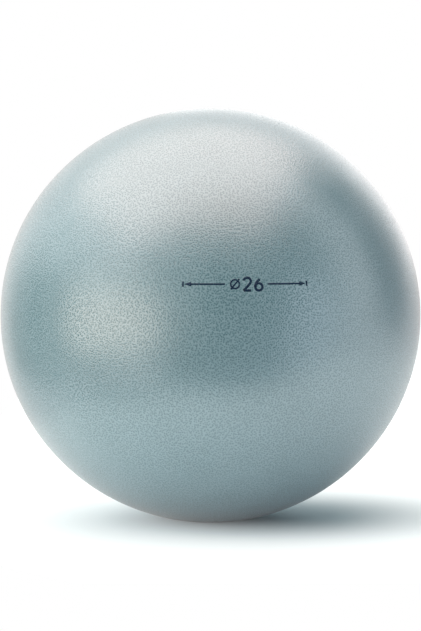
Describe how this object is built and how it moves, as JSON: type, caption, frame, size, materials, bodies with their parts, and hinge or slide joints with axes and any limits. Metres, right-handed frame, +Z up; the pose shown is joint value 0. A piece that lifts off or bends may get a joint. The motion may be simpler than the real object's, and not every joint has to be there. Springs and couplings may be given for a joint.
{
  "type": "pilates ball",
  "caption": "Soft round air-filled exercise ball with a pebbled satin vinyl skin, a small flat patch where it rests, and a flush moulded valve closed by a push-in plug.",
  "frame": {"origin": "on the floor, in the middle of the flat patch that the ball rests on, straight under its crown", "axes": "+Z up, +Y out through the valve, +X to the right of a viewer who faces the side away from the valve"},
  "size_m": [0.26, 0.26, 0.2552],
  "materials": {
    "ball_vinyl": "soft vinyl, satin, with a fine moulded pebble grain",
    "seat_vinyl": "soft vinyl, smooth satin",
    "plug_plastic": "soft polyethylene, smooth satin"
  },
  "bodies": {
    "ball": {"ball_skin": "ball_vinyl", "valve_seat": "seat_vinyl"},
    "plug": {"valve_plug": "plug_plastic"}
  },
  "joints": [
    {"name": "plug_pull", "type": "slide", "parent": "ball", "child": "plug", "axis": [0, 1, 0], "range_m": [0, 0.02]}
  ]
}
